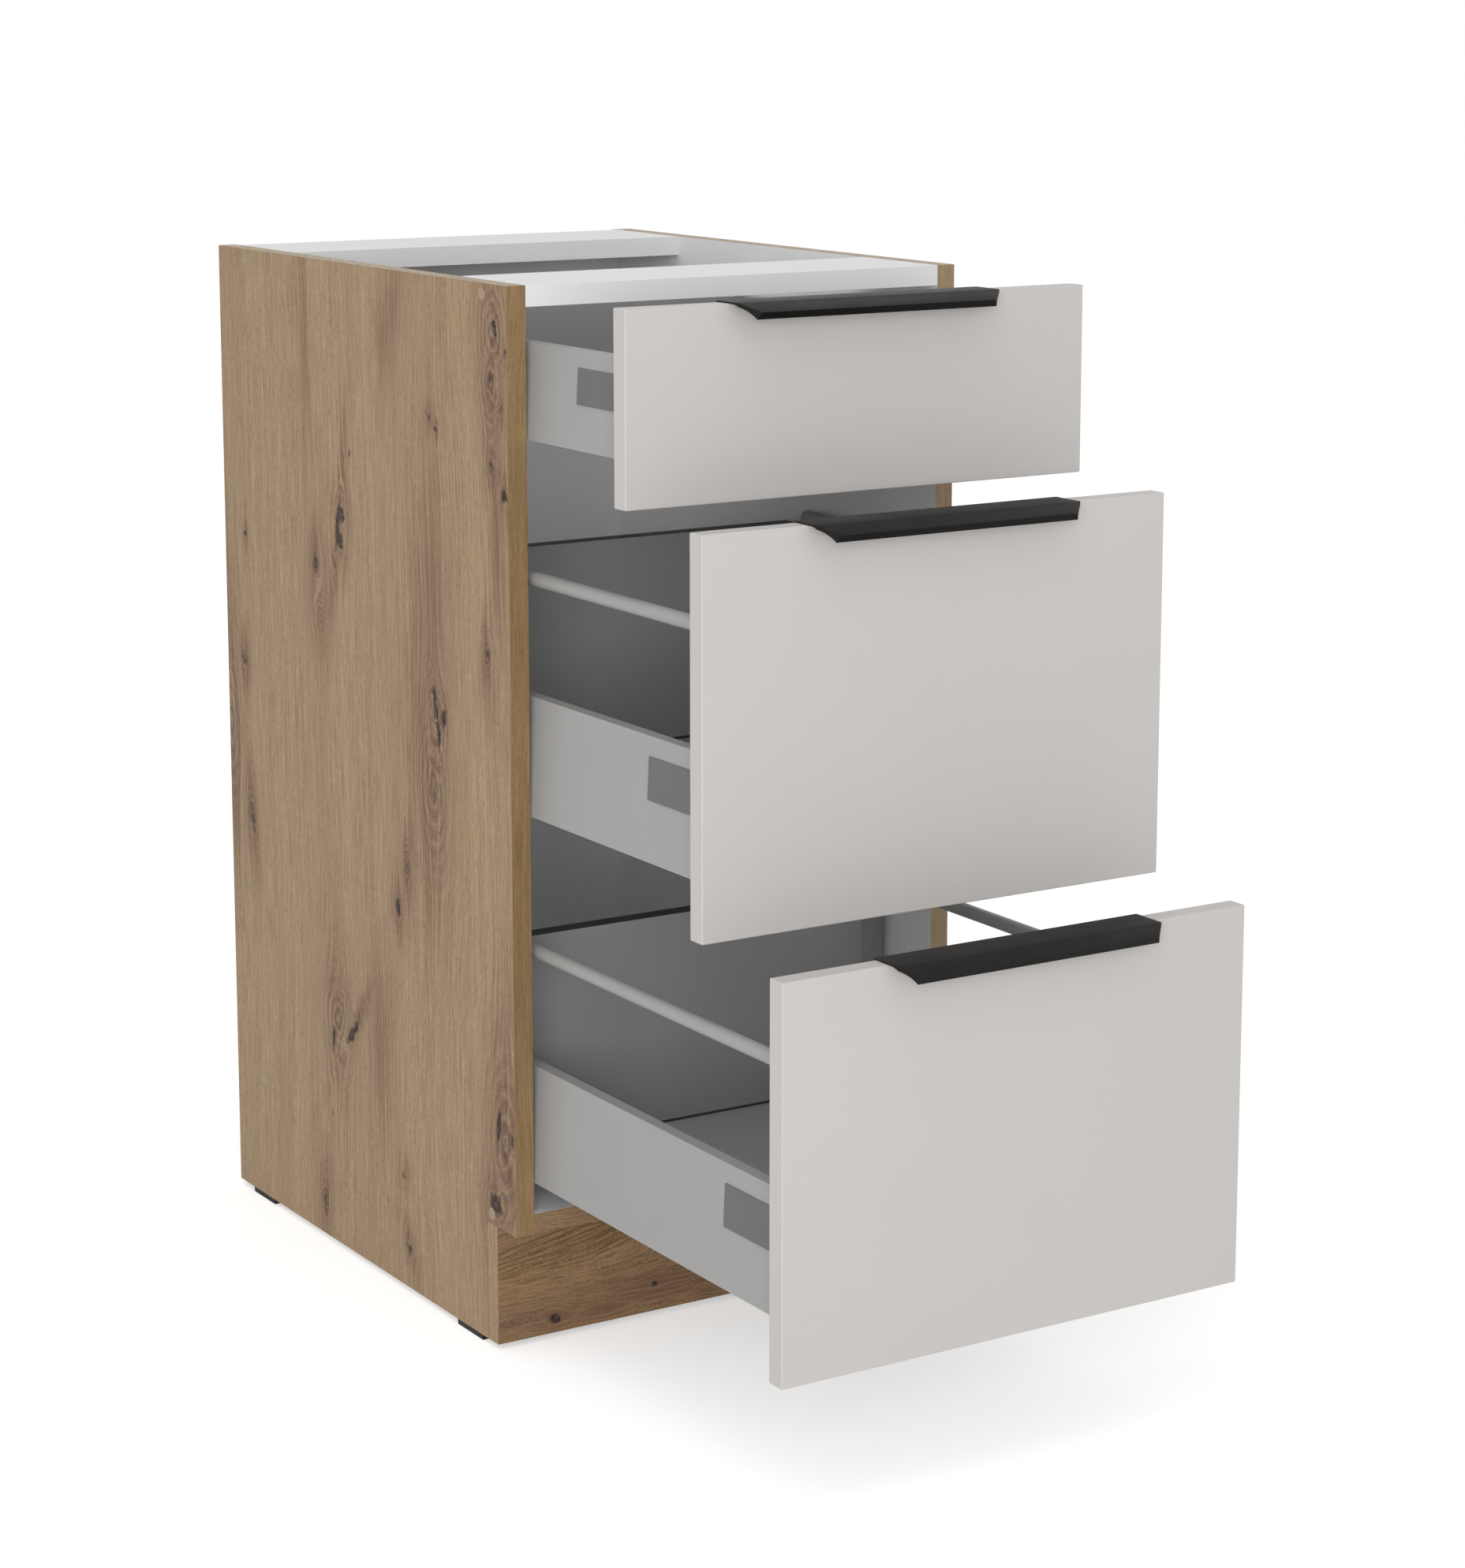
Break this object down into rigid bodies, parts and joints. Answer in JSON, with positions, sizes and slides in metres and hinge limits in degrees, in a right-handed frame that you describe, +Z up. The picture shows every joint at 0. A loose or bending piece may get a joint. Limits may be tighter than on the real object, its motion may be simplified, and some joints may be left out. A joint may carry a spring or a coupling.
{
  "type": "kitchen base cabinet",
  "caption": "Narrow kitchen base cabinet in light knotty oak with matt grey drawer fronts, black edge handles and metal-walled full extension drawers standing open in steps",
  "frame": {"origin": "on the floor, midway across the width, in the plane of the front edges of the side panels", "axes": "+X to the right seen from the front, +Y towards the wall behind, +Z up; the drawers open along -Y"},
  "size_m": [0.4, 0.899, 0.8242],
  "materials": {
    "oak_side": "light knotty oak decor, fine vertical grain, matt",
    "oak_plinth": "knotty oak decor, grain lying across, matt",
    "white_board": "white melamine faced board, fine pearl texture, matt",
    "white_back": "thin white lacquered fibreboard",
    "zinc_steel": "bright zinc plated steel",
    "beige_plastic": "pale beige moulded caps",
    "beech_dowel": "fluted beech",
    "black_plastic": "black moulded plastic",
    "rail_steel": "zinc plated sheet steel",
    "grey_lacquer": "warm light grey matt lacquer on board",
    "black_aluminium": "extruded profile, matt black coating",
    "grey_steel": "pale grey powder coated sheet steel",
    "grey_board": "grey melamine faced board with dark cut edges",
    "dark_steel": "dark grey coated sheet steel",
    "dark_plastic": "dark grey moulded plastic, fine texture",
    "grey_plastic": "pale grey moulded plastic",
    "clear_rubber": "soft translucent buffer"
  },
  "bodies": {
    "carcass": {"side_panel_left": "oak_side", "side_panel_right": "oak_side", "bottom_panel": "white_board", "top_rail_front": "white_board", "top_rail_rear": "white_board", "back_panel": "white_back", "back_panel_nails": "zinc_steel", "plinth_board": "oak_plinth", "connector_screws": "zinc_steel", "cover_caps": "beige_plastic", "dowels": "beech_dowel", "floor_glides": "black_plastic", "rail_screws": "zinc_steel", "cabinet_rails_1": "rail_steel", "cabinet_rails_2": "rail_steel", "cabinet_rails_3": "rail_steel"},
    "drawer_1": {"front_1": "grey_lacquer", "handle_1": "black_aluminium", "wall_left_1": "grey_steel", "wall_right_1": "grey_steel", "box_bottom_1": "grey_board", "box_back_1": "grey_board", "back_brackets_1": "dark_steel", "front_brackets_1": "dark_steel", "cover_plates_1": "dark_plastic", "buffers_1": "clear_rubber", "drawer_screws_1": "zinc_steel"},
    "slide_body_left_1": {"slide_left_1": "rail_steel"},
    "slide_body_right_1": {"slide_right_1": "rail_steel"},
    "drawer_2": {"front_2": "grey_lacquer", "handle_2": "black_aluminium", "wall_left_2": "grey_steel", "wall_right_2": "grey_steel", "box_bottom_2": "grey_board", "box_back_2": "grey_board", "back_brackets_2": "dark_steel", "front_brackets_2": "dark_steel", "cover_plates_2": "dark_plastic", "buffers_2": "clear_rubber", "drawer_screws_2": "zinc_steel", "gallery_rods_2": "grey_steel", "rod_sockets_2": "grey_plastic"},
    "slide_body_left_2": {"slide_left_2": "rail_steel"},
    "slide_body_right_2": {"slide_right_2": "rail_steel"},
    "drawer_3": {"front_3": "grey_lacquer", "handle_3": "black_aluminium", "wall_left_3": "grey_steel", "wall_right_3": "grey_steel", "box_bottom_3": "grey_board", "box_back_3": "grey_board", "back_brackets_3": "dark_steel", "front_brackets_3": "dark_steel", "cover_plates_3": "dark_plastic", "buffers_3": "clear_rubber", "drawer_screws_3": "zinc_steel", "gallery_rods_3": "grey_steel", "rod_sockets_3": "grey_plastic"},
    "slide_body_left_3": {"slide_left_3": "rail_steel"},
    "slide_body_right_3": {"slide_right_3": "rail_steel"}
  },
  "joints": [
    {"name": "drawer_1_slide", "type": "slide", "parent": "carcass", "child": "drawer_1", "axis": [0, -1, 0], "range_m": [-0.1495, 0.2805]},
    {"name": "slide_left_1_run", "type": "slide", "parent": "carcass", "child": "slide_body_left_1", "axis": [0, -1, 0], "range_m": [-0.07525, 0.14075]},
    {"name": "slide_right_1_run", "type": "slide", "parent": "carcass", "child": "slide_body_right_1", "axis": [0, -1, 0], "range_m": [-0.07525, 0.14075]},
    {"name": "drawer_2_slide", "type": "slide", "parent": "carcass", "child": "drawer_2", "axis": [0, -1, 0], "range_m": [-0.2505, 0.1795]},
    {"name": "slide_left_2_run", "type": "slide", "parent": "carcass", "child": "slide_body_left_2", "axis": [0, -1, 0], "range_m": [-0.12575, 0.09025]},
    {"name": "slide_right_2_run", "type": "slide", "parent": "carcass", "child": "slide_body_right_2", "axis": [0, -1, 0], "range_m": [-0.12575, 0.09025]},
    {"name": "drawer_3_slide", "type": "slide", "parent": "carcass", "child": "drawer_3", "axis": [0, -1, 0], "range_m": [-0.352, 0.078]},
    {"name": "slide_left_3_run", "type": "slide", "parent": "carcass", "child": "slide_body_left_3", "axis": [0, -1, 0], "range_m": [-0.1765, 0.0395]},
    {"name": "slide_right_3_run", "type": "slide", "parent": "carcass", "child": "slide_body_right_3", "axis": [0, -1, 0], "range_m": [-0.1765, 0.0395]}
  ],
  "couplings": [
    {"joint": "slide_left_1_run", "follows": "drawer_1_slide", "ratio": 0.5},
    {"joint": "slide_right_1_run", "follows": "drawer_1_slide", "ratio": 0.5},
    {"joint": "slide_left_2_run", "follows": "drawer_2_slide", "ratio": 0.5},
    {"joint": "slide_right_2_run", "follows": "drawer_2_slide", "ratio": 0.5},
    {"joint": "slide_left_3_run", "follows": "drawer_3_slide", "ratio": 0.5},
    {"joint": "slide_right_3_run", "follows": "drawer_3_slide", "ratio": 0.5}
  ]
}
